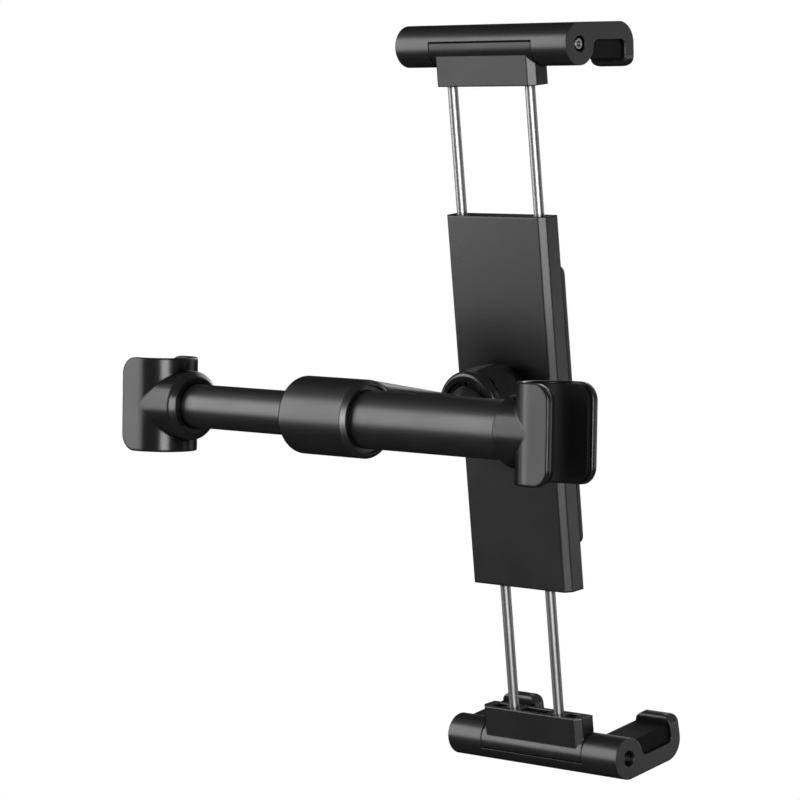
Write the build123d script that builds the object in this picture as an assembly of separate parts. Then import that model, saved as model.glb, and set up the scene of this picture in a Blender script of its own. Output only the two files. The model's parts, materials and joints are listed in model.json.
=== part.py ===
from build123d import *
import math
import os

# Frame of the finished part: origin at the middle of the right post's seat, +X along the bar
# towards that post, +Y from the seat towards the passenger who watches the tablet, +Z up.
# The pieces are drawn with X = 0 at the middle of the arm and moved at the end.
# All sizes are millimetres and degrees.

# Telescopic bar
post_spacing = 160.6
right_post_x = 84.2
left_post_x = right_post_x - post_spacing
outer_tube_radius = 8.6
outer_tube_bore = 7.4
inner_tube_radius = 6.65
inner_tube_bore = 5.3
inner_tube_end_x = 14.0
running_gap = 0.05
seat_gap = 0.02
axial_gap = 0.25
guide_bush_length = 8.0
guide_bush_flange = 3.0
plug_length = 8.0
bar_spring_radius = 5.9
bar_spring_wire = 0.55
bar_spring_turns = 7

# Post hooks and their liners
hook_half_width = 10.6
hook_wall = 2.1
hook_height = 28.8
flange_reach = 7.2
flange_corner_radius = 5.2
hook_edge_round = 0.5
collar_radius = 10.55
collar_reach = 15.2
collar_chamfer = 1.75
tube_socket_depth = 5.0
liner_thickness = 1.5
liner_inset = 0.6
screw_shank_radius = 1.5
screw_head_radius = 2.8
screw_head_height = 1.4
screw_length = 10.0

# Sleeve with the tapered arm
sleeve_radius = 11.6
sleeve_right_reach = 12.9
sleeve_left_reach = 14.7
sleeve_chamfer = 1.3
sleeve_left_round = 1.8
sleeve_end_wall = 1.5
end_ring_radius = 9.9
end_ring_thickness = 1.0
end_ring_recess = 0.6
ring_groove_depth = 0.5
arm_root_y = 5.0
arm_root_radius = 9.6
arm_shoulder_y = 14.0
arm_shoulder_radius = 10.4
arm_end_y = 49.4
arm_end_radius = 5.1
arm_end_round = 0.8

# Ball joint
ball_y = 58.2
ball_radius = 8.2
neck_radius = 4.3
stud_radius = 3.4
stud_depth = 8.0
socket_mouth_y = -2.2
socket_outer_radius = 10.2
collet_tip_radius = 9.3
collet_taper_y = 0.8
collet_slits = 6
slit_width = 1.1
slit_end_y = 4.6
socket_flange_radius = 11.6
socket_flange_thickness = 3.6
pad_thickness = 1.05
pad_half_angle = 25.0
ball_swing = 22.0
pad_swing_margin = 3.5
nut_front_y = -2.7
nut_back_y = 10.2
nut_radius = 12.3
nut_grip_radius = 12.6
nut_grip_back_radius = 13.4
nut_facet_turn = 9.0
nut_front_ring = 3.2
nut_groove_width = 0.6
nut_groove_depth = 0.8
nut_facets = 10
nut_front_round = 1.5
nut_bevel = 0.8

# Holder: its own frame has its origin at the ball's centre, y along the normal, z up the plate
holder_tilt = 7.65
plate_back_y = 15.0
plate_chamfer = 1.8
plate_depth = 6.96
plate_top_z = 57.7
plate_bottom_z = -58.6
plate_wall = 1.5
plate_end_wall = 5.2
lid_thickness = 1.5
lid_gap = 0.05
platform_side_step = 1.4
platform_rise = 2.94
platform_wall = 1.2
platform_top_z = 41.4
platform_bottom_z = -45.2
platform_round = 3.0
front_pad_side_edge = 0.6
front_pad_thickness = 2.3
front_pad_overhang = 0.5
front_pad_round = 1.8
cover_screw_radius = 0.9
cover_screw_head = 1.7
cover_screw_edge = 0.2
cover_screw_head_height = 0.8
cover_screw_length = 5.0
upper_screw_x = 8.0
lower_screw_side = 4.0
socket_screw_radius = 0.9
socket_screw_head = 1.7
socket_screw_length = 3.6
socket_screw_circle = 6.3

# Rods and carriages
rod_radius = 1.6
rod_depth_y = 3.83
upper_rod_spacing = 31.95
lower_rod_spacing = 18.73
rod_overlap_z = 4.0
rod_socket = 6.5
carriage_length = 8.0
upper_lug_half_width = 2.3
upper_lug_clearance = 0.725
lower_carriage_half_width = 11.6
carriage_gap = 0.35
crossbar_thickness = 1.7

# Blocks and folding jaws, in a frame with its origin on the hinge pin
upper_pin_z = 109.55
lower_pin_z = -110.65
pin_depth_y = 5.97
block_reach = 12.0
block_chamfer = 2.0
block_pocket_depth = 5.0
block_pocket_near = 1.3
block_pocket_far = 5.6
lower_pocket_half_width = 5.5
lower_side_pocket_from = 12.6
lower_side_pocket_to = 17.4
upper_pocket_half_width = 11.0
jaw_radius = 6.5
jaw_half_length = 35.1
barrel_overhang = 0.35
jaw_end_gap = 0.3
barrel_core_radius = 5.0
shell_inner_radius = 5.3
shell_front_angle = 167.6
shell_back_angle = 36.7
barrel_front_angle = 166.9
barrel_back_angle = 300.0
jaw_reach = 24.9
jaw_lip_thickness = 4.1
jaw_recess_height = 1.1
jaw_lip_drop = 7.2
jaw_outer_round = 6.6
jaw_inner_round = 1.8
jaw_lip_round = 1.4
lip_outer_corner = 3.2
lip_inner_corner = 3.2
jaw_root_round = 1.6
jaw_lean = 4.4
hinge_pin_radius = 1.5
hinge_head_radius = 1.65
hinge_head_height = 1.6
counterbore_radius = 2.45
counterbore_depth = 2.0
jaw_pad_thickness = 5.8
jaw_pad_inset = 0.8

# Sizes that follow from the ones above
cavity_half_width = upper_rod_spacing / 2 + upper_lug_half_width + upper_lug_clearance
plate_half_width = cavity_half_width + plate_wall
platform_half_width = cavity_half_width - platform_side_step
front_pad_half_width = platform_half_width + front_pad_side_edge
lower_screw_x = cavity_half_width - lower_screw_side
plate_front_y = plate_back_y + plate_depth
rod_y = plate_back_y + rod_depth_y
pin_y = plate_back_y + pin_depth_y
barrel_half_length = plate_half_width + barrel_overhang
jaw_inner_end = barrel_half_length + jaw_end_gap
lid_back_y = plate_front_y - lid_thickness
cavity_back_y = plate_back_y + plate_wall
cavity_top_z = plate_top_z - plate_end_wall
cavity_bottom_z = plate_bottom_z + plate_end_wall
cover_screw_inset = plate_wall + cover_screw_edge + cover_screw_head
collar_face_left = left_post_x + collar_reach
collar_face_right = right_post_x - collar_reach
tube_left_end = -sleeve_left_reach + sleeve_end_wall + axial_gap
tube_right_end = collar_face_right + tube_socket_depth
guide_sleeve_end = inner_tube_end_x - axial_gap
inner_tube_left_end = collar_face_left - tube_socket_depth
bush_end_x = inner_tube_end_x + guide_bush_flange
ring_groove_x = sleeve_right_reach - end_ring_recess - end_ring_thickness
hook_inner = hook_half_width - hook_wall
post_radius = hook_inner - liner_thickness
cavity_radius = ball_radius + running_gap
pad_outer_radius = cavity_radius + pad_thickness
pad_edge_y = cavity_radius * math.cos(math.radians(pad_half_angle))
pad_edge_angle = math.degrees(math.acos(pad_edge_y / pad_outer_radius))
pad_sweep_angle = pad_edge_angle + ball_swing + pad_swing_margin
recess_end = jaw_reach - jaw_lip_thickness
beyond = 60.0


def block(x_from, x_to, y_from, y_to, z_from, z_to):
    """A box given by its two corners."""
    place = Pos((x_from + x_to) / 2, (y_from + y_to) / 2, (z_from + z_to) / 2)
    return place * Box(x_to - x_from, y_to - y_from, z_to - z_from)


def x_cylinder(radius, x_from, x_to, y=0, z=0):
    return Pos((x_from + x_to) / 2, y, z) * Rot(0, 90, 0) * Cylinder(radius, x_to - x_from)


def y_cylinder(radius, y_from, y_to, x=0, z=0):
    return Pos(x, (y_from + y_to) / 2, z) * Rot(-90, 0, 0) * Cylinder(radius, y_to - y_from)


def z_cylinder(radius, z_from, z_to, x=0, y=0):
    return Pos(x, y, (z_from + z_to) / 2) * Cylinder(radius, z_to - z_from)


def x_turned(points):
    """A solid turned about the X axis from (x, radius) points."""
    with BuildPart() as turned:
        with BuildSketch(Plane.XY):
            with BuildLine():
                Polyline(*points, close=True)
            make_face()
        revolve(axis=Axis.X)
    return turned.part


def y_turned(points):
    """A solid turned about the Y axis from (radius, y) points."""
    with BuildPart() as turned:
        with BuildSketch(Plane.XY):
            with BuildLine():
                Polyline(*points, close=True)
            make_face()
        revolve(axis=Axis.Y)
    return turned.part


def coil(radius, wire, length, turns):
    """A spring along +Z from the origin; its thin wire is drawn with six sides."""
    path = Helix(pitch=(length - 2 * wire) / turns, height=length - 2 * wire, radius=radius - wire)
    section = Plane(origin=path @ 0, z_dir=path % 0) * RegularPolygon(wire, 6)
    return Pos(0, 0, wire) * sweep(section, path=path, is_frenet=True)


def sector(angle_from, angle_to, x_from, x_to):
    """A wide wedge about the X axis, its angles measured from +Y towards +Z."""
    steps = max(2, math.ceil((angle_to - angle_from) / 60))
    corners = [(0, 0)]
    for step in range(steps + 1):
        angle = math.radians(angle_from + (angle_to - angle_from) * step / steps)
        corners.append((beyond * math.cos(angle), beyond * math.sin(angle)))
    face = Plane.YZ.offset(x_from) * make_face(Polyline(*corners, close=True))
    return extrude(face, amount=x_to - x_from)


def channel(half_width, reach, z_from, z_to):
    """The U section of a post hook: a half circle towards +X with flats towards -X."""
    bar = z_cylinder(half_width, z_from, z_to)
    return bar + block(-reach, 0, -half_width, half_width, z_from, z_to)


def flange_outline(reach, height, corner, half_depth):
    """The side view of the hook: its free corners are rounded."""
    slab = block(-reach, collar_reach, -half_depth, half_depth, -height / 2, height / 2)
    corners = slab.edges().filter_by(Axis.Y).group_by(Axis.X)[0]
    return fillet(corners, corner)


def hook(tube_radius):
    """A post hook whose collar points to +X, seen from the post's axis."""
    half = hook_height / 2
    body = channel(hook_half_width, flange_reach, -half, half)
    body = body & flange_outline(flange_reach, hook_height, flange_corner_radius, hook_half_width)
    face = collar_reach - collar_chamfer
    tip = collar_radius - collar_chamfer
    collar = x_turned([(0, 0), (0, collar_radius), (face, collar_radius), (collar_reach, tip),
                       (collar_reach, 0)])
    body = body + collar
    body = body - channel(hook_inner, flange_reach + 1, -half - 1, half + 1)
    body = body - x_cylinder(tube_radius + seat_gap, collar_reach - tube_socket_depth, collar_reach + 1)
    body = body - x_cylinder(screw_shank_radius + seat_gap, 0, collar_reach)
    body = body - x_cylinder(screw_head_radius + seat_gap, 0, hook_inner + screw_head_height)
    free_edges = body.edges().filter_by(Axis.Z).group_by(Axis.X)[0]
    return fillet(free_edges, hook_edge_round)


def liner():
    """The rubber lining of a post hook."""
    height = hook_height - 2 * liner_inset
    reach = flange_reach - liner_inset
    body = channel(hook_inner, reach, -height / 2, height / 2)
    body = body & flange_outline(reach, height, flange_corner_radius - liner_inset, hook_half_width)
    return body - channel(post_radius, flange_reach + 1, -hook_height, hook_height)


def hook_screw():
    """The screw that joins a hook to its tube, head under the liner."""
    head = x_cylinder(screw_head_radius, hook_inner, hook_inner + screw_head_height)
    slot = x_cylinder(screw_shank_radius, hook_inner, hook_inner + screw_head_height / 2)
    shank = x_cylinder(screw_shank_radius, hook_inner + screw_head_height, hook_inner + screw_length)
    return head + shank - slot


def tube_plug(bore):
    """The plug in a tube's end that takes the hook's screw."""
    start = collar_reach - tube_socket_depth
    body = x_cylinder(bore - seat_gap, start, start + plug_length)
    return body - x_cylinder(screw_shank_radius + seat_gap, start, hook_inner + screw_length + 1)


def left_side(part):
    return Pos(left_post_x, 0, 0) * part


def right_side(part):
    return Pos(right_post_x, 0, 0) * mirror(part, about=Plane.YZ)


def outer_tube():
    body = x_cylinder(outer_tube_radius, tube_left_end, tube_right_end)
    body = body - x_cylinder(outer_tube_bore, tube_left_end - 1, tube_right_end + 1)
    groove_from = ring_groove_x - running_gap
    groove_to = ring_groove_x + end_ring_thickness + running_gap
    groove = x_cylinder(beyond, groove_from, groove_to)
    groove = groove - x_cylinder(outer_tube_radius - ring_groove_depth, groove_from - 1, groove_to + 1)
    return body - groove


def guide_sleeve():
    """The sleeve pressed into the thick tube's mouth; the thin tube's bush stops against it."""
    body = x_cylinder(outer_tube_bore - seat_gap, tube_left_end, guide_sleeve_end)
    return body - x_cylinder(inner_tube_radius + running_gap, tube_left_end - 1, beyond)


def inner_tube():
    body = x_cylinder(inner_tube_radius, inner_tube_left_end, inner_tube_end_x)
    return body - x_cylinder(inner_tube_bore, inner_tube_left_end - 1, inner_tube_end_x + 1)


def guide_bush():
    """The bush on the thin tube's inner end, which slides in the thick tube."""
    plug_start = inner_tube_end_x + guide_bush_flange - guide_bush_length
    flange = x_cylinder(outer_tube_bore - running_gap, inner_tube_end_x, bush_end_x)
    return flange + x_cylinder(inner_tube_bore - seat_gap, plug_start, inner_tube_end_x)


def bar_spring():
    """The spring that pushes the two hooks apart against the posts."""
    plug_face = tube_right_end - plug_length
    length = plug_face - bush_end_x
    spring = coil(bar_spring_radius, bar_spring_wire, length, bar_spring_turns)
    return Pos(bush_end_x, 0, 0) * Rot(0, 90, 0) * spring


def sleeve_arm():
    """The sleeve round the tubes and the tapered arm, one moulding."""
    sleeve = x_cylinder(sleeve_radius, -sleeve_left_reach, sleeve_right_reach)
    sleeve = fillet(sleeve.edges().group_by(Axis.X)[0], sleeve_left_round)
    sleeve = chamfer(sleeve.edges().group_by(Axis.X)[-1], sleeve_chamfer)
    arm = y_turned([(0, arm_root_y), (arm_root_radius, arm_root_y),
                    (arm_shoulder_radius, arm_shoulder_y), (arm_end_radius, arm_end_y),
                    (0, arm_end_y)])
    arm = fillet(arm.edges().group_by(Axis.Y)[-1], arm_end_round)
    body = sleeve + arm
    body = body - x_cylinder(outer_tube_radius + running_gap, -sleeve_left_reach + sleeve_end_wall, beyond)
    body = body - x_cylinder(inner_tube_radius + axial_gap, -beyond, 0)
    body = body - x_cylinder(end_ring_radius + seat_gap, ring_groove_x, beyond)
    stud_bore = y_cylinder(stud_radius + seat_gap, arm_end_y - stud_depth, arm_end_y + 1)
    return body - stud_bore


def end_ring():
    """The ring that keeps the sleeve in its place on the thick tube."""
    ring_end = ring_groove_x + end_ring_thickness
    body = x_cylinder(end_ring_radius, ring_groove_x, ring_end)
    bore = outer_tube_radius - ring_groove_depth + running_gap
    return body - x_cylinder(bore, ring_groove_x - 1, ring_end + 1)


def ball_stud():
    body = Pos(0, ball_y, 0) * Sphere(ball_radius)
    body = body + y_cylinder(neck_radius, arm_end_y, ball_y - ball_radius / 2)
    return body + y_cylinder(stud_radius, arm_end_y - stud_depth, arm_end_y + 1)


def ball_pad():
    """The thin friction cap between the ball and the bottom of its socket."""
    shell = Sphere(pad_outer_radius) - Sphere(cavity_radius - running_gap / 5)
    return shell & block(-beyond, beyond, pad_edge_y, beyond, -beyond, beyond)


def ball_socket():
    """The slit cup that holds the ball, with its flange on the back cover."""
    flange_y = plate_back_y - socket_flange_thickness
    cup = y_turned([(0, plate_back_y), (0, socket_mouth_y), (collet_tip_radius, socket_mouth_y),
                    (socket_outer_radius, collet_taper_y), (socket_outer_radius, flange_y),
                    (socket_flange_radius, flange_y), (socket_flange_radius, plate_back_y)])
    relief_radius = pad_outer_radius + running_gap
    relief_y = relief_radius * math.cos(math.radians(pad_sweep_angle))
    relief = Sphere(relief_radius) & block(-beyond, beyond, relief_y, beyond, -beyond, beyond)
    cup = cup - Sphere(cavity_radius) - relief
    for slit in range(collet_slits):
        cut = block(-slit_width / 2, slit_width / 2, socket_mouth_y - 1, slit_end_y,
                    ball_radius / 2, socket_outer_radius + 1)
        cup = cup - Rot(0, slit * 360 / collet_slits, 0) * cut
    for spot in socket_screw_spots():
        cup = cup - y_cylinder(socket_screw_radius + seat_gap, plate_back_y - socket_screw_length,
                               plate_back_y + 1, spot[0], spot[1])
    return cup


def lock_nut():
    """The nut that closes the slit cup on the ball: a round front ring and a flared, faceted grip."""
    ring_end = nut_front_y + nut_front_ring
    facet_start = ring_end + nut_groove_width
    ring = y_cylinder(nut_radius, nut_front_y, ring_end)
    ring = fillet(ring.edges().group_by(Axis.Y)[0], nut_front_round)
    neck = y_cylinder(nut_radius - nut_groove_depth, ring_end, facet_start)
    turned = Rot(0, 0, nut_facet_turn)
    front = Plane.XZ.offset(-facet_start) * turned * RegularPolygon(nut_grip_radius, nut_facets)
    back = Plane.XZ.offset(-nut_back_y) * turned * RegularPolygon(nut_grip_back_radius, nut_facets)
    grip = loft([front.face(), back.face()])
    grip = chamfer(grip.edges().group_by(Axis.Y)[-1], nut_bevel)
    body = ring + neck + grip
    gap = running_gap + seat_gap
    bore = y_turned([(0, nut_front_y - 1), (collet_tip_radius + gap, nut_front_y - 1),
                     (collet_tip_radius + gap, socket_mouth_y), (socket_outer_radius + gap, collet_taper_y),
                     (socket_outer_radius + gap, nut_back_y + 1), (0, nut_back_y + 1)])
    return body - bore


def socket_screw_spots():
    """Where the socket's screws stand on the plate, between the rods."""
    return [(0, socket_screw_circle), (0, -socket_screw_circle)]


def socket_screws():
    screws = []
    head_y = cavity_back_y - (socket_screw_head - socket_screw_radius)
    for x, z in socket_screw_spots():
        screw = y_cylinder(socket_screw_radius, plate_back_y - socket_screw_length, head_y + seat_gap, x, z)
        cone = y_turned([(0, head_y), (socket_screw_radius, head_y), (socket_screw_head, cavity_back_y),
                         (0, cavity_back_y)])
        screws.append(screw + Pos(x, 0, z) * cone)
    return Compound(children=screws)


def plate_section(y_from, y_to, z_from, z_to):
    """The plate's own section: its two long back edges are chamfered."""
    body = block(-plate_half_width, plate_half_width, y_from, y_to, z_from, z_to)
    edges = body.edges().filter_by(Axis.Z).group_by(Axis.Y)[0]
    return chamfer(edges, plate_chamfer)


def cover_screw_spots():
    top = plate_top_z - cover_screw_inset
    bottom = plate_bottom_z + cover_screw_inset
    return [(-upper_screw_x, top), (upper_screw_x, top), (-lower_screw_x, bottom), (lower_screw_x, bottom)]


def back_cover():
    body = plate_section(plate_back_y, plate_front_y, plate_bottom_z, plate_top_z)
    body = body - block(-cavity_half_width, cavity_half_width, cavity_back_y, beyond, cavity_bottom_z,
                        cavity_top_z)
    body = body - block(-cavity_half_width, cavity_half_width, lid_back_y, beyond,
                        plate_bottom_z + plate_wall, plate_top_z - plate_wall)
    for side in (-1, 1):
        body = body - z_cylinder(rod_radius + running_gap, cavity_top_z - 1, plate_top_z + 1,
                                 side * upper_rod_spacing / 2, rod_y)
        body = body - z_cylinder(rod_radius + running_gap, plate_bottom_z - 1, cavity_bottom_z + 1,
                                 side * lower_rod_spacing / 2, rod_y)
    for x, z in cover_screw_spots():
        body = body - y_cylinder(cover_screw_radius + seat_gap, plate_front_y - cover_screw_length,
                                 plate_front_y, x, z)
    head_y = cavity_back_y - (socket_screw_head - socket_screw_radius)
    for x, z in socket_screw_spots():
        cone = y_turned([(0, plate_back_y - 1), (socket_screw_radius + seat_gap, plate_back_y - 1),
                         (socket_screw_radius + seat_gap, head_y - seat_gap),
                         (socket_screw_head + 2 * seat_gap, cavity_back_y + seat_gap), (0, cavity_back_y)])
        body = body - Pos(x, 0, z) * cone
    return body


def front_cover():
    """The lid with its raised platform; the platform is hollow for the rods' crossbar."""
    lid = block(-cavity_half_width + lid_gap, cavity_half_width - lid_gap, lid_back_y, plate_front_y,
                plate_bottom_z + plate_wall + lid_gap, plate_top_z - plate_wall - lid_gap)
    platform_front_y = plate_front_y + platform_rise
    platform = block(-platform_half_width, platform_half_width, plate_front_y, platform_front_y,
                     platform_bottom_z, platform_top_z)
    platform = fillet(platform.edges().filter_by(Axis.Y), platform_round)
    body = lid + platform
    hollow_half = platform_half_width - platform_wall
    body = body - block(-hollow_half, hollow_half, lid_back_y - 1, platform_front_y - platform_wall,
                        platform_bottom_z + platform_round, platform_top_z - platform_round)
    for x, z in cover_screw_spots():
        body = body - y_cylinder(cover_screw_radius + seat_gap, lid_back_y - 1, plate_front_y + 1, x, z)
        body = body - y_cylinder(cover_screw_head + seat_gap, plate_front_y - cover_screw_head_height,
                                 plate_front_y + 1, x, z)
    return body


def cover_screws():
    screws = []
    for x, z in cover_screw_spots():
        head = y_cylinder(cover_screw_head, plate_front_y - cover_screw_head_height, plate_front_y, x, z)
        shank = y_cylinder(cover_screw_radius, plate_front_y - cover_screw_length,
                           plate_front_y - cover_screw_head_height, x, z)
        slot = block(x - cover_screw_head, x + cover_screw_head,
                     plate_front_y - cover_screw_head_height / 2, plate_front_y,
                     z - cover_screw_radius / 3, z + cover_screw_radius / 3)
        screws.append(head + shank - slot)
    return Compound(children=screws)


def front_pad():
    """The rubber pad that the tablet's back leans on, with its rounded rim."""
    start = plate_front_y + platform_rise
    body = block(-front_pad_half_width, front_pad_half_width, start, start + front_pad_thickness,
                 platform_bottom_z - front_pad_overhang, platform_top_z + front_pad_overhang)
    body = fillet(body.edges().filter_by(Axis.Y), platform_round)
    return fillet(body.edges().group_by(Axis.Y)[-1], front_pad_round)


def rod(x, z_inner, z_outer):
    low = min(z_inner, z_outer)
    high = max(z_inner, z_outer)
    return z_cylinder(rod_radius, low, high, x, rod_y)


def upper_carriage():
    """The crosspiece on the upper rods' inner ends; its bar passes in front of the lower rods."""
    low = -rod_overlap_z
    high = low + carriage_length
    half = upper_rod_spacing / 2
    bar_back_y = rod_y + rod_radius + carriage_gap
    bar_front_y = bar_back_y + crossbar_thickness
    body = block(-half, half, bar_back_y, bar_front_y, low, high)
    for side in (-1, 1):
        x_in = side * (half - upper_lug_half_width)
        x_out = side * (half + upper_lug_half_width)
        body = body + block(min(x_in, x_out), max(x_in, x_out), cavity_back_y + carriage_gap,
                            lid_back_y - carriage_gap, low, high)
        body = body + block(min(x_in, side * half), max(x_in, side * half), rod_y, bar_front_y, low, high)
        body = body - z_cylinder(rod_radius + seat_gap, low - 1, high + 1, side * half, rod_y)
    return body


def lower_carriage():
    """The crosspiece on the lower rods' inner ends, behind the upper rods' bar."""
    high = rod_overlap_z
    low = high - carriage_length
    body = block(-lower_carriage_half_width, lower_carriage_half_width, cavity_back_y + carriage_gap,
                 rod_y + rod_radius, low, high)
    for side in (-1, 1):
        body = body - z_cylinder(rod_radius + seat_gap, low - 1, high + 1,
                                 side * lower_rod_spacing / 2, rod_y)
    return body


def end_block(rod_spacing, pockets):
    """A rod block with its hinge barrel above it; the hinge axis is the origin."""
    back = -pin_depth_y
    front = plate_depth - pin_depth_y
    body = block(-plate_half_width, plate_half_width, back, front, -block_reach, 0)
    edges = body.edges().filter_by(Axis.Z).group_by(Axis.Y)[0]
    body = chamfer(edges, block_chamfer)
    core = x_cylinder(barrel_core_radius, -barrel_half_length, barrel_half_length)
    full = x_cylinder(jaw_radius, -barrel_half_length, barrel_half_length)
    skin = full & sector(barrel_front_angle, barrel_back_angle, -barrel_half_length, barrel_half_length)
    body = body + core + skin
    body = body - x_cylinder(hinge_pin_radius + running_gap, -beyond, beyond)
    for side in (-1, 1):
        body = body - z_cylinder(rod_radius + seat_gap, -block_reach - 1, -block_reach + rod_socket,
                                 side * rod_spacing / 2, rod_depth_y - pin_depth_y)
    for x_from, x_to in pockets:
        body = body - block(x_from, x_to, back + block_pocket_near, back + block_pocket_far,
                            -block_reach - 1, -block_reach + block_pocket_depth)
    return body


def jaw_root(x_from, x_to):
    """The round end of a jaw with the fillet that leads into the underside of its arm."""
    fillet_z = jaw_recess_height - jaw_root_round
    fillet_y = math.sqrt((jaw_radius + jaw_root_round) ** 2 - fillet_z ** 2)
    corners = [(0, 0), (0, jaw_recess_height), (fillet_y, jaw_recess_height), (fillet_y, fillet_z)]
    web = extrude(Plane.YZ.offset(x_from) * make_face(Polyline(*corners, close=True)), amount=x_to - x_from)
    web = web - x_cylinder(jaw_root_round, x_from - 1, x_to + 1, fillet_y, fillet_z)
    return x_cylinder(jaw_radius, x_from, x_to) + web


def lip_outline():
    """The rear view of one arm: the lip's two free corners are rounded, the outer one more."""
    slab = block(jaw_inner_end, jaw_half_length, -1, jaw_reach + 1, -jaw_lip_drop, jaw_radius + 1)
    inner, outer = slab.edges().filter_by(Axis.Y).group_by(Axis.Z)[0].sort_by(Axis.X)
    slab = fillet(outer, lip_outer_corner)
    inner = slab.edges().filter_by(Axis.Y).group_by(Axis.Z)[0].sort_by(Axis.X)[0]
    return fillet(inner, lip_inner_corner)


def jaw():
    """A folding jaw about its hinge axis: two round ends with hooked arms, and a shell between."""
    with BuildPart() as arm_part:
        with BuildSketch(Plane.YZ.offset(jaw_inner_end)):
            with BuildLine():
                FilletPolyline((0, jaw_recess_height), (recess_end, jaw_recess_height),
                               (recess_end, -jaw_lip_drop), (jaw_reach, -jaw_lip_drop),
                               (jaw_reach, jaw_radius), (0, jaw_radius),
                               radius=[jaw_inner_round, jaw_lip_round, jaw_lip_round, jaw_outer_round])
                Line((0, jaw_radius), (0, jaw_recess_height))
            make_face()
        extrude(amount=jaw_half_length - jaw_inner_end)
    half = (arm_part.part & lip_outline()) + jaw_root(jaw_inner_end, jaw_half_length)
    shell = x_cylinder(jaw_radius, -jaw_inner_end, jaw_inner_end)
    shell = shell - x_cylinder(shell_inner_radius, -beyond, beyond)
    shell = shell & sector(shell_back_angle, shell_front_angle, -jaw_inner_end, jaw_inner_end)
    body = half + shell + mirror(half, about=Plane.YZ)
    body = body - x_cylinder(hinge_pin_radius + seat_gap, -beyond, beyond)
    for side in (-1, 1):
        floor = side * (jaw_half_length - counterbore_depth)
        rim = side * (jaw_half_length + 1)
        body = body - x_cylinder(counterbore_radius, min(floor, rim), max(floor, rim))
    return body


def jaw_pad(side):
    """The thick rubber block in one hook, under the arm and against the lip."""
    x_in = side * (jaw_inner_end + jaw_pad_inset)
    x_out = side * (jaw_half_length - jaw_pad_inset)
    low = min(x_in, x_out)
    high = max(x_in, x_out)
    pad_end = jaw_recess_height - jaw_pad_thickness
    body = block(low, high, 0, recess_end, pad_end, jaw_recess_height)
    corner = body.edges().filter_by(Axis.X).group_by(Axis.Y)[-1].group_by(Axis.Z)[-1]
    body = fillet(corner, jaw_inner_round)
    return body - jaw_root(low - 1, high + 1)


def hinge_pin():
    """The headed pin of a jaw; its head lies in the +X counterbore."""
    floor = jaw_half_length - counterbore_depth
    pin = x_cylinder(hinge_pin_radius, -floor, floor)
    head = x_cylinder(hinge_head_radius, floor, floor + hinge_head_height)
    drive = x_cylinder(hinge_head_radius / 2, floor + hinge_head_height / 2, beyond)
    return pin + head - drive


def in_holder(part):
    """From the holder's frame to the part's frame."""
    return Pos(0, ball_y, 0) * Rot(holder_tilt, 0, 0) * part


def at_upper_pin(part):
    return in_holder(Pos(0, pin_y, upper_pin_z) * part)


def at_lower_pin(part):
    return in_holder(Pos(0, pin_y, lower_pin_z) * mirror(part, about=Plane.XY))


def leaning(part):
    return Rot(-jaw_lean, 0, 0) * part


def build():
    """Every piece by its node name."""
    pieces = {}
    pieces["left_hook"] = left_side(hook(inner_tube_radius))
    pieces["left_hook_liner"] = left_side(liner())
    pieces["left_hook_screw"] = left_side(hook_screw())
    pieces["inner_tube_plug"] = left_side(tube_plug(inner_tube_bore))
    pieces["right_hook"] = right_side(hook(outer_tube_radius))
    pieces["right_hook_liner"] = right_side(liner())
    pieces["right_hook_screw"] = right_side(hook_screw())
    pieces["outer_tube_plug"] = right_side(tube_plug(outer_tube_bore))
    pieces["inner_tube"] = inner_tube()
    pieces["outer_tube"] = outer_tube()
    pieces["guide_sleeve"] = guide_sleeve()
    pieces["guide_bush"] = guide_bush()
    pieces["bar_spring"] = bar_spring()
    pieces["sleeve_arm"] = sleeve_arm()
    pieces["sleeve_end_ring"] = end_ring()
    pieces["ball_stud"] = ball_stud()
    pieces["ball_pad"] = in_holder(ball_pad())
    pieces["ball_socket"] = in_holder(ball_socket())
    pieces["lock_nut"] = in_holder(lock_nut())
    pieces["socket_screws"] = in_holder(socket_screws())
    pieces["back_cover"] = in_holder(back_cover())
    pieces["front_cover"] = in_holder(front_cover())
    pieces["cover_screws"] = in_holder(cover_screws())
    pieces["front_pad"] = in_holder(front_pad())
    upper_end = upper_pin_z - block_reach + rod_socket
    lower_end = lower_pin_z + block_reach - rod_socket
    for name, side in (("left", -1), ("right", 1)):
        upper_x = side * upper_rod_spacing / 2
        lower_x = side * lower_rod_spacing / 2
        pieces["upper_" + name + "_rod"] = in_holder(rod(upper_x, -rod_overlap_z, upper_end))
        pieces["lower_" + name + "_rod"] = in_holder(rod(lower_x, rod_overlap_z, lower_end))
        pieces["upper_" + name + "_jaw_pad"] = at_upper_pin(leaning(jaw_pad(side)))
        pieces["lower_" + name + "_jaw_pad"] = at_lower_pin(leaning(jaw_pad(side)))
    pieces["upper_carriage"] = in_holder(upper_carriage())
    pieces["lower_carriage"] = in_holder(lower_carriage())
    upper_pockets = [(-upper_pocket_half_width, upper_pocket_half_width)]
    lower_pockets = [(-lower_pocket_half_width, lower_pocket_half_width),
                     (lower_side_pocket_from, lower_side_pocket_to),
                     (-lower_side_pocket_to, -lower_side_pocket_from)]
    pieces["upper_block"] = at_upper_pin(end_block(upper_rod_spacing, upper_pockets))
    pieces["lower_block"] = at_lower_pin(end_block(lower_rod_spacing, lower_pockets))
    pieces["upper_jaw"] = at_upper_pin(leaning(jaw()))
    pieces["lower_jaw"] = at_lower_pin(leaning(jaw()))
    pieces["upper_hinge_pin"] = at_upper_pin(hinge_pin())
    pieces["lower_hinge_pin"] = at_lower_pin(mirror(hinge_pin(), about=Plane.YZ))
    return pieces


os.makedirs("parts", exist_ok=True)
for node, solid in build().items():
    export_step(Pos(-right_post_x, 0, 0) * solid, "parts/" + node + ".step")
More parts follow.
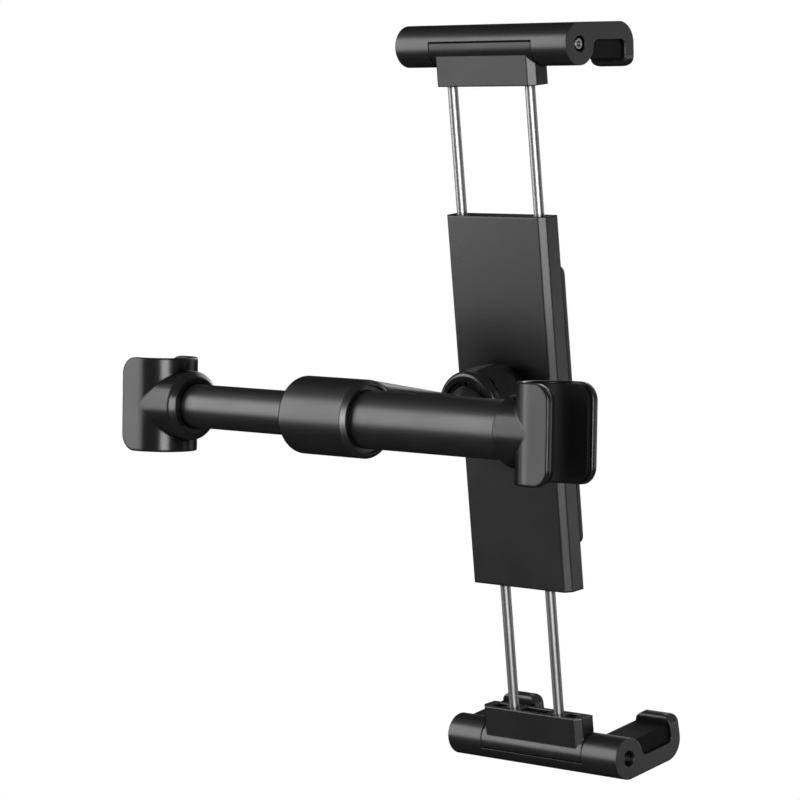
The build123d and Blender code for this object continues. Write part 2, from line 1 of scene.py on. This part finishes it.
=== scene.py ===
import json
import math

import bmesh
import bpy
from mathutils import Matrix, Vector

MM = 0.001

# Camera, fitted to the photograph's edges
CAMERA_PLACE = (664.8 * MM, -754.8 * MM, 68.8 * MM)
CAMERA_AZIMUTH = math.radians(43.803)
CAMERA_ELEVATION = math.radians(3.425)
CAMERA_ROLL = math.radians(0.893)
CAMERA_LENS = 162.97
CAMERA_SENSOR = 36.0
CAMERA_SHIFT = (-0.0006, 0.0006)
CAMERA_NEAR = 0.01
CAMERA_FAR = 50.0

# The middle of the sleeve and the ball, from the part's own frame
SLEEVE_X = -84.2 * MM
BALL_Y = 58.2 * MM
SET_CENTRE = (SLEEVE_X, 30.0 * MM, 0.0)

# Floor and world: a strength of 1 is white
FLOOR_Z = -0.30
FLOOR_RADIUS = 1.05
FLOOR_SIDES = 96
FLOOR_GREY = (0.80, 0.80, 0.80, 1)
FLOOR_ROUGHNESS = 0.9
FLOOR_LIFT = 0.24
WORLD_FILL = 0.85
WORLD_WHITE = 1.0
WHITE = (1, 1, 1, 1)
BLACK_FELT = (0.004, 0.004, 0.004, 1)

# Colours of the finishes are linear
BLACK_PLASTIC = (0.011, 0.011, 0.0115, 1)
BLACK_PAINT = (0.012, 0.012, 0.0125, 1)
BLACK_RUBBER = (0.004, 0.004, 0.004, 1)
PAD_RUBBER = (0.014, 0.014, 0.014, 1)
GREY_ACETAL = (0.11, 0.11, 0.115, 1)
ROD_STEEL = (0.20, 0.20, 0.205, 1)
PIN_STEEL = (0.34, 0.34, 0.345, 1)
SPRING_STEEL = (0.42, 0.42, 0.43, 1)
BLACK_OXIDE = (0.10, 0.10, 0.10, 1)
PALE_DUST = (0.035, 0.035, 0.036, 1)
# The black that painted shade darkens hollows towards
UNLIT_GAP = (0.0008, 0.0008, 0.0008, 1)

# What a finish has where it says nothing else
FINE_EDGE = 0.4 * MM
# Painted shade in hollows found by ambient occlusion: fine for seams and slots, wide for the joints of the
# hooks, the nut and the ball socket
FINE_GAP_SHADE = {"Reach": 2.5 * MM, "Open": 0.8, "Shut": 0.15}
WIDE_GAP_SHADE = {"Reach": 7.0 * MM, "Open": 0.9, "Shut": 0.4}
# Painted shade on the back plate, darkest at the foot of the lock nut and the arm
PLATE_NUT_SHADE = {"Reach": 36.0 * MM, "Open": 0.97, "Shut": 0.50}
# How far the painted shade goes towards black
GAP_SHADE_STRENGTH = 0.9
DUST_SHARE = 0.12

# The moulded grain stands this high at full strength, and a slow unevenness shifts the roughness
GRAIN_HEIGHT = 0.05 * MM
GRAIN_DETAIL = 3.0
FLOW_SCALE = 55.0
FLOW_DETAIL = 4.0
FLOW_LOW = 0.30
FLOW_HIGH = 0.70
DUST_SCALE = 120.0
DUST_DETAIL = 6.0

# Sockets that a colour Mix node carries: first colour, second colour, result
MIX_FIRST = 6
MIX_SECOND = 7
MIX_RESULT = 2

# Finish by the slot's name, or by a name of its own. Grain is scale and strength, roughness low and high,
# gaps the painted shade in hollows
FINISHES = {
    "black_plastic": {
        "material": "satin_black_plastic", "base": BLACK_PLASTIC,
        "grain": (2400.0, 0.10), "roughness": (0.30, 0.38)},
    "grained_plastic": {
        "material": "grained_black_plastic", "base": BLACK_PLASTIC,
        "grain": (1900.0, 0.16), "roughness": (0.27, 0.33), "edge": 0.6 * MM, "specular": 0.225},
    "hook_plastic": {
        "material": "satin_hook_plastic", "base": BLACK_PLASTIC,
        "grain": (1900.0, 0.14), "roughness": (0.22, 0.27), "edge": 1.0 * MM, "specular": 0.22,
        "gaps": WIDE_GAP_SHADE},
    "dull_plastic": {
        "material": "dull_black_plastic", "base": BLACK_PLASTIC,
        "grain": (1900.0, 0.16), "roughness": (0.24, 0.30), "edge": 0.6 * MM, "specular": 0.36},
    "jaw_plastic": {
        "material": "satin_jaw_plastic", "base": BLACK_PLASTIC,
        "grain": (2400.0, 0.14), "roughness": (0.30, 0.36), "specular": 0.40},
    "plate_plastic": {
        "material": "grained_plate_plastic", "base": BLACK_PLASTIC,
        "grain": (1900.0, 0.40), "roughness": (0.27, 0.33), "edge": 0.8 * MM, "specular": 0.27,
        "gaps": PLATE_NUT_SHADE},
    "glossy_plastic": {
        "material": "glossy_black_plastic", "base": BLACK_PLASTIC,
        "grain": (2400.0, 0.06), "roughness": (0.18, 0.23), "specular": 0.36, "gaps": WIDE_GAP_SHADE},
    "black_tube": {
        "material": "black_tube_coat", "base": BLACK_PAINT,
        "grain": (3200.0, 0.18), "roughness": (0.33, 0.41)},
    "black_rubber": {
        "material": "soft_black_rubber", "base": BLACK_RUBBER, "dust_share": 0.01,
        "grain": (1800.0, 0.20), "roughness": (0.52, 0.66), "specular": 0.08},
    "pad_rubber": {
        "material": "matt_pad_rubber", "base": PAD_RUBBER, "dust_share": 0.08,
        "grain": (1500.0, 0.25), "roughness": (0.44, 0.54), "specular": 0.30},
    "grey_acetal": {
        "material": "grey_acetal", "base": GREY_ACETAL, "dust": (0.15, 0.15, 0.15, 1),
        "grain": (1500.0, 0.05), "roughness": (0.38, 0.46)},
    "chromed_steel": {
        "material": "satin_chrome_rod", "base": ROD_STEEL, "dust": (0.55, 0.55, 0.56, 1), "metal": True,
        "grain": (900.0, 0.0), "roughness": (0.38, 0.42)},
    "bright_pin": {
        "material": "bright_steel_pin", "base": PIN_STEEL, "dust": (0.26, 0.26, 0.26, 1), "metal": True,
        "grain": (1200.0, 0.04), "roughness": (0.22, 0.30)},
    "black_screw": {
        "material": "black_oxide_screw", "base": BLACK_OXIDE, "dust": (0.16, 0.15, 0.14, 1), "metal": True,
        "grain": (1600.0, 0.06), "roughness": (0.28, 0.40)},
    "spring_steel": {
        "material": "drawn_spring_wire", "base": SPRING_STEEL, "dust": (0.30, 0.30, 0.30, 1), "metal": True,
        "grain": (1200.0, 0.04), "roughness": (0.20, 0.30)},
}

# Nodes whose finish differs from the rest of their slot
OWN_FINISH = {
    "left_hook": "hook_plastic",
    "right_hook": "hook_plastic",
    "back_cover": "plate_plastic",
    "upper_block": "grained_plastic",
    "lower_block": "dull_plastic",
    "upper_jaw": "jaw_plastic",
    "lower_jaw": "jaw_plastic",
    "sleeve_arm": "jaw_plastic",
    "lock_nut": "glossy_plastic",
    "ball_socket": "glossy_plastic",
    "upper_hinge_pin": "bright_pin",
    # Painted shade: the lower hinge pin, the same pin as the upper one, takes the dark screw finish so that
    # its hole reads black
    "lower_hinge_pin": "black_screw",
    "front_pad": "pad_rubber",
}


def new_group(name, inputs, outputs):
    """A shader node group with its sockets made, and the two nodes that carry them."""
    group = bpy.data.node_groups.new(name, "ShaderNodeTree")
    for label, kind, value in inputs:
        socket = group.interface.new_socket(name=label, in_out="INPUT", socket_type=kind)
        socket.default_value = value
    for label, kind in outputs:
        group.interface.new_socket(name=label, in_out="OUTPUT", socket_type=kind)
    entry = group.nodes.new("NodeGroupInput")
    result = group.nodes.new("NodeGroupOutput")
    return group, entry, result


def noise_over(group, place, detail, scale=None):
    """A noise texture laid over the piece's own coordinates."""
    noise = group.nodes.new("ShaderNodeTexNoise")
    noise.inputs["Detail"].default_value = detail
    if scale is not None:
        noise.inputs["Scale"].default_value = scale
    group.links.new(place.outputs["Object"], noise.inputs["Vector"])
    return noise


def moulded_grain():
    """Fine spark-eroded grain, slow unevenness and rounded edges, as mould tools leave on satin plastic."""
    group, entry, result = new_group(
        "moulded_grain",
        [
            ("Grain Scale", "NodeSocketFloat", 2600.0),
            ("Grain Depth", "NodeSocketFloat", 0.12),
            ("Roughness Low", "NodeSocketFloat", 0.30),
            ("Roughness High", "NodeSocketFloat", 0.42),
            ("Edge Radius", "NodeSocketFloat", FINE_EDGE),
        ],
        [("Roughness", "NodeSocketFloat"), ("Normal", "NodeSocketVector")],
    )
    nodes = group.nodes
    links = group.links
    place = nodes.new("ShaderNodeTexCoord")
    grain = noise_over(group, place, GRAIN_DETAIL)
    links.new(entry.outputs["Grain Scale"], grain.inputs["Scale"])
    flow = noise_over(group, place, FLOW_DETAIL, FLOW_SCALE)
    spread = nodes.new("ShaderNodeMapRange")
    spread.inputs["From Min"].default_value = FLOW_LOW
    spread.inputs["From Max"].default_value = FLOW_HIGH
    links.new(flow.outputs["Fac"], spread.inputs["Value"])
    links.new(entry.outputs["Roughness Low"], spread.inputs["To Min"])
    links.new(entry.outputs["Roughness High"], spread.inputs["To Max"])
    rounding = nodes.new("ShaderNodeBevel")
    rounding.samples = 8
    links.new(entry.outputs["Edge Radius"], rounding.inputs["Radius"])
    bump = nodes.new("ShaderNodeBump")
    bump.inputs["Distance"].default_value = GRAIN_HEIGHT
    links.new(rounding.outputs["Normal"], bump.inputs["Normal"])
    links.new(grain.outputs["Fac"], bump.inputs["Height"])
    links.new(entry.outputs["Grain Depth"], bump.inputs["Strength"])
    links.new(spread.outputs["Result"], result.inputs["Roughness"])
    links.new(bump.outputs["Normal"], result.inputs["Normal"])
    return group


def dusty_tint():
    """A base colour with a faint cloud of paler dust in it."""
    group, entry, result = new_group(
        "dusty_tint",
        [
            ("Base", "NodeSocketColor", BLACK_PLASTIC),
            ("Dust", "NodeSocketColor", PALE_DUST),
            ("Amount", "NodeSocketFloat", DUST_SHARE),
        ],
        [("Color", "NodeSocketColor")],
    )
    nodes = group.nodes
    links = group.links
    place = nodes.new("ShaderNodeTexCoord")
    cloud = noise_over(group, place, DUST_DETAIL, DUST_SCALE)
    share = nodes.new("ShaderNodeMath")
    share.operation = "MULTIPLY"
    links.new(cloud.outputs["Fac"], share.inputs[0])
    links.new(entry.outputs["Amount"], share.inputs[1])
    mix = nodes.new("ShaderNodeMix")
    mix.data_type = "RGBA"
    links.new(share.outputs["Value"], mix.inputs["Factor"])
    links.new(entry.outputs["Base"], mix.inputs[MIX_FIRST])
    links.new(entry.outputs["Dust"], mix.inputs[MIX_SECOND])
    links.new(mix.outputs[MIX_RESULT], result.inputs["Color"])
    return group


def crevice_shade():
    """Painted shade: seams, slots and the foot of a joint go black, as unlit gaps do, wherever ambient
    occlusion finds them closed in.
    """
    group, entry, result = new_group(
        "crevice_shade",
        [
            ("Color", "NodeSocketColor", BLACK_PLASTIC),
            ("Reach", "NodeSocketFloat", FINE_GAP_SHADE["Reach"]),
            ("Open", "NodeSocketFloat", FINE_GAP_SHADE["Open"]),
            ("Shut", "NodeSocketFloat", FINE_GAP_SHADE["Shut"]),
            ("Depth", "NodeSocketFloat", GAP_SHADE_STRENGTH),
        ],
        [("Color", "NodeSocketColor"), ("Painted Shade", "NodeSocketFloat")],
    )
    nodes = group.nodes
    links = group.links
    hollow = nodes.new("ShaderNodeAmbientOcclusion")
    hollow.samples = 8
    links.new(entry.outputs["Reach"], hollow.inputs["Distance"])
    shut_share = nodes.new("ShaderNodeMapRange")
    shut_share.inputs["To Min"].default_value = 1.0
    shut_share.inputs["To Max"].default_value = 0.0
    links.new(entry.outputs["Shut"], shut_share.inputs["From Min"])
    links.new(entry.outputs["Open"], shut_share.inputs["From Max"])
    links.new(hollow.outputs["AO"], shut_share.inputs["Value"])
    shade = nodes.new("ShaderNodeMath")
    shade.operation = "MULTIPLY"
    links.new(shut_share.outputs["Result"], shade.inputs[0])
    links.new(entry.outputs["Depth"], shade.inputs[1])
    dark = nodes.new("ShaderNodeMix")
    dark.data_type = "RGBA"
    dark.inputs[MIX_SECOND].default_value = UNLIT_GAP
    links.new(shade.outputs["Value"], dark.inputs["Factor"])
    links.new(entry.outputs["Color"], dark.inputs[MIX_FIRST])
    links.new(dark.outputs[MIX_RESULT], result.inputs["Color"])
    links.new(shade.outputs["Value"], result.inputs["Painted Shade"])
    return group


def new_material(name):
    """A material whose only node is its Principled BSDF, and that node."""
    material = bpy.data.materials.new(name)
    material.use_nodes = True
    shader = material.node_tree.nodes["Principled BSDF"]
    return material, shader


def place_group(material, group, values):
    """A shared group placed in a material with its own values."""
    node = material.node_tree.nodes.new("ShaderNodeGroup")
    node.node_tree = group
    for label, value in values.items():
        node.inputs[label].default_value = value
    return node


def finished_material(finish, grain_group, tint_group, crevice_group):
    """One shader, fed by the grain, the tint and the painted crevice shade with the finish's values."""
    material, shader = new_material(finish["material"])
    links = material.node_tree.links
    grain_scale, grain_depth = finish["grain"]
    roughness_low, roughness_high = finish["roughness"]
    surface = place_group(material, grain_group, {
        "Grain Scale": grain_scale,
        "Grain Depth": grain_depth,
        "Roughness Low": roughness_low,
        "Roughness High": roughness_high,
        "Edge Radius": finish.get("edge", FINE_EDGE),
    })
    tint = place_group(material, tint_group, {
        "Base": finish["base"],
        "Dust": finish.get("dust", PALE_DUST),
        "Amount": finish.get("dust_share", DUST_SHARE),
    })
    crevice = place_group(material, crevice_group, finish.get("gaps", FINE_GAP_SHADE))
    links.new(tint.outputs["Color"], crevice.inputs["Color"])
    links.new(crevice.outputs["Color"], shader.inputs["Base Color"])
    links.new(surface.outputs["Roughness"], shader.inputs["Roughness"])
    links.new(surface.outputs["Normal"], shader.inputs["Normal"])
    if finish.get("metal"):
        shader.inputs["Metallic"].default_value = 1.0
    else:
        # Painted shade: a gap that counts as black metal loses its highlight too
        links.new(crevice.outputs["Painted Shade"], shader.inputs["Metallic"])
    if "specular" in finish:
        shader.inputs["Specular IOR Level"].default_value = finish["specular"]
    return material


def make_materials():
    grain_group = moulded_grain()
    tint_group = dusty_tint()
    crevice_group = crevice_shade()
    return {
        name: finished_material(finish, grain_group, tint_group, crevice_group)
        for name, finish in FINISHES.items()
    }


def dress_nodes(frame, made):
    """Each CAD node takes the material of its slot, or its own finish where that differs."""
    for entry in frame["record"]["subparts"]:
        finish = OWN_FINISH.get(entry["node"], entry["material_slot"])
        part = frame["nodes"][entry["node"]]
        part.data.materials.clear()
        part.data.materials.append(made[finish])


def stand_round(thing, azimuth, elevation, distance):
    """Stands a lamp or a card at an angle round the object, its -Z side towards the set's centre."""
    turn = math.radians(azimuth)
    lift = math.radians(elevation)
    away = Vector((math.sin(turn) * math.cos(lift), -math.cos(turn) * math.cos(lift), math.sin(lift)))
    thing.location = Vector(SET_CENTRE) + away * distance
    thing.rotation_euler = (-away).to_track_quat("-Z", "Y").to_euler()


def softbox(name, azimuth, elevation, distance, width, height, radiance):
    """An area lamp, as a studio softbox. A radiance of 1 is white."""
    lamp = bpy.data.lights.new(name, "AREA")
    lamp.shape = "RECTANGLE"
    lamp.size = width
    lamp.size_y = height
    lamp.energy = radiance * math.pi * width * height
    thing = bpy.data.objects.new(name, lamp)
    bpy.context.scene.collection.objects.link(thing)
    stand_round(thing, azimuth, elevation, distance)
    return thing


def dark_card(name, azimuth, elevation, distance, width, height):
    """A black card beside the set: only reflections see it."""
    mesh = bpy.data.meshes.new(name)
    half_width = width / 2
    half_height = height / 2
    mesh.from_pydata([(-half_width, -half_height, 0), (half_width, -half_height, 0),
                      (half_width, half_height, 0), (-half_width, half_height, 0)], [], [(0, 1, 2, 3)])
    card = bpy.data.objects.new(name, mesh)
    bpy.context.scene.collection.objects.link(card)
    material, shader = new_material(name + "_felt")
    shader.inputs["Base Color"].default_value = BLACK_FELT
    shader.inputs["Roughness"].default_value = 1.0
    shader.inputs["Specular IOR Level"].default_value = 0.0
    mesh.materials.append(material)
    stand_round(card, azimuth, elevation, distance)
    card.visible_camera = False
    card.visible_shadow = False
    card.visible_diffuse = False


def rays_that_see_white(tree):
    """1 for the rays of the camera, of reflections and through glass, 0 for the light on matt surfaces."""
    rays = tree.nodes.new("ShaderNodeLightPath")
    seen = rays.outputs["Is Camera Ray"]
    for kind in ("Is Glossy Ray", "Is Transmission Ray"):
        either = tree.nodes.new("ShaderNodeMath")
        either.operation = "MAXIMUM"
        tree.links.new(seen, either.inputs[0])
        tree.links.new(rays.outputs[kind], either.inputs[1])
        seen = either.outputs["Value"]
    return seen


def make_floor():
    """A round pale floor under the object, which keeps its shadow."""
    mesh = bpy.data.meshes.new("studio_floor")
    shape = bmesh.new()
    bmesh.ops.create_circle(shape, cap_ends=True, radius=FLOOR_RADIUS, segments=FLOOR_SIDES)
    shape.to_mesh(mesh)
    shape.free()
    floor = bpy.data.objects.new("studio_floor", mesh)
    bpy.context.scene.collection.objects.link(floor)
    floor.location = (SLEEVE_X, BALL_Y, FLOOR_Z)
    material, shader = new_material("pale_floor")
    tree = material.node_tree
    shader.inputs["Base Color"].default_value = FLOOR_GREY
    shader.inputs["Roughness"].default_value = FLOOR_ROUGHNESS
    shader.inputs["Emission Color"].default_value = WHITE
    lift = tree.nodes.new("ShaderNodeMath")
    lift.operation = "MULTIPLY"
    lift.inputs[1].default_value = FLOOR_LIFT
    tree.links.new(rays_that_see_white(tree), lift.inputs[0])
    tree.links.new(lift.outputs["Value"], shader.inputs["Emission Strength"])
    mesh.materials.append(material)


def make_world():
    """White where the camera, reflections or glass look, and a soft grey fill elsewhere."""
    world = bpy.data.worlds.new("studio_world")
    bpy.context.scene.world = world
    world.use_nodes = True
    tree = world.node_tree
    back = tree.nodes["Background"]
    back.inputs["Color"].default_value = WHITE
    level = tree.nodes.new("ShaderNodeMapRange")
    level.inputs["To Min"].default_value = WORLD_FILL
    level.inputs["To Max"].default_value = WORLD_WHITE
    tree.links.new(rays_that_see_white(tree), level.inputs["Value"])
    tree.links.new(level.outputs["Result"], back.inputs["Strength"])


def make_camera():
    """The camera at the photograph's angle, from its azimuth, elevation and roll."""
    back = Vector((math.sin(CAMERA_AZIMUTH) * math.cos(CAMERA_ELEVATION),
                   -math.cos(CAMERA_AZIMUTH) * math.cos(CAMERA_ELEVATION),
                   math.sin(CAMERA_ELEVATION)))
    level_right = Vector((math.cos(CAMERA_AZIMUTH), math.sin(CAMERA_AZIMUTH), 0))
    level_up = back.cross(level_right)
    right = level_right * math.cos(CAMERA_ROLL) + level_up * math.sin(CAMERA_ROLL)
    up = back.cross(right)
    camera = bpy.data.cameras.new("photo_camera")
    camera.lens = CAMERA_LENS
    camera.sensor_width = CAMERA_SENSOR
    camera.sensor_fit = "HORIZONTAL"
    camera.shift_x = CAMERA_SHIFT[0]
    camera.shift_y = CAMERA_SHIFT[1]
    camera.clip_start = CAMERA_NEAR
    camera.clip_end = CAMERA_FAR
    thing = bpy.data.objects.new("photo_camera", camera)
    bpy.context.scene.collection.objects.link(thing)
    turn = Matrix((right, up, back)).transposed().to_4x4()
    thing.matrix_world = Matrix.Translation(CAMERA_PLACE) @ turn
    bpy.context.scene.camera = thing


def light_the_set():
    """Softboxes and dark cards round the object, at azimuth and elevation in degrees and sizes in metres."""
    left_front = softbox("left_front_softbox", azimuth=-46, elevation=9.5, distance=1.5,
                         width=0.9, height=1.4, radiance=5.5)
    right_front = softbox("right_front_strip", azimuth=50, elevation=-5, distance=1.5,
                          width=0.7, height=1.4, radiance=20.0)
    softbox("rear_right_softbox", azimuth=138, elevation=-16, distance=1.5,
            width=0.8, height=1.0, radiance=1.5)
    softbox("rear_softbox", azimuth=198, elevation=22, distance=1.2,
            width=0.8, height=0.8, radiance=2.2)
    overhead = softbox("overhead_softbox", azimuth=10, elevation=72, distance=1.5,
                       width=1.0, height=0.8, radiance=2.5)
    # The two front lamps only draw the highlights, and the overhead one only lights the surfaces
    left_front.visible_diffuse = False
    right_front.visible_diffuse = False
    overhead.visible_glossy = False
    dark_card("back_card", azimuth=224, elevation=0, distance=1.3, width=3.6, height=2.8)
    dark_card("front_card", azimuth=5, elevation=0, distance=1.75, width=4.2, height=3.4)
    dark_card("right_card", azimuth=100, elevation=0, distance=1.75, width=3.2, height=3.4)
    dark_card("low_card", azimuth=0, elevation=-90, distance=0.29, width=2.4, height=2.4)
    dark_card("top_card", azimuth=0, elevation=90, distance=1.2, width=2.6, height=2.6)


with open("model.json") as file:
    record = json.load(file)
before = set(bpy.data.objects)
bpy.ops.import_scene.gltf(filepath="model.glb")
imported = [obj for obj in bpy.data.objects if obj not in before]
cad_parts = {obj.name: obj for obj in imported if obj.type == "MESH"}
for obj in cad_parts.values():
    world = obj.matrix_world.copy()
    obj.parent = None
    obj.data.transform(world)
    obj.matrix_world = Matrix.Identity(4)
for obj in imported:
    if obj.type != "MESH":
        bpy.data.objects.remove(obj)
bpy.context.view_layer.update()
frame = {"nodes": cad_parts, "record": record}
bpy.context.scene.view_settings.view_transform = "Standard"
materials = make_materials()
dress_nodes(frame, materials)
make_world()
make_floor()
make_camera()
light_the_set()
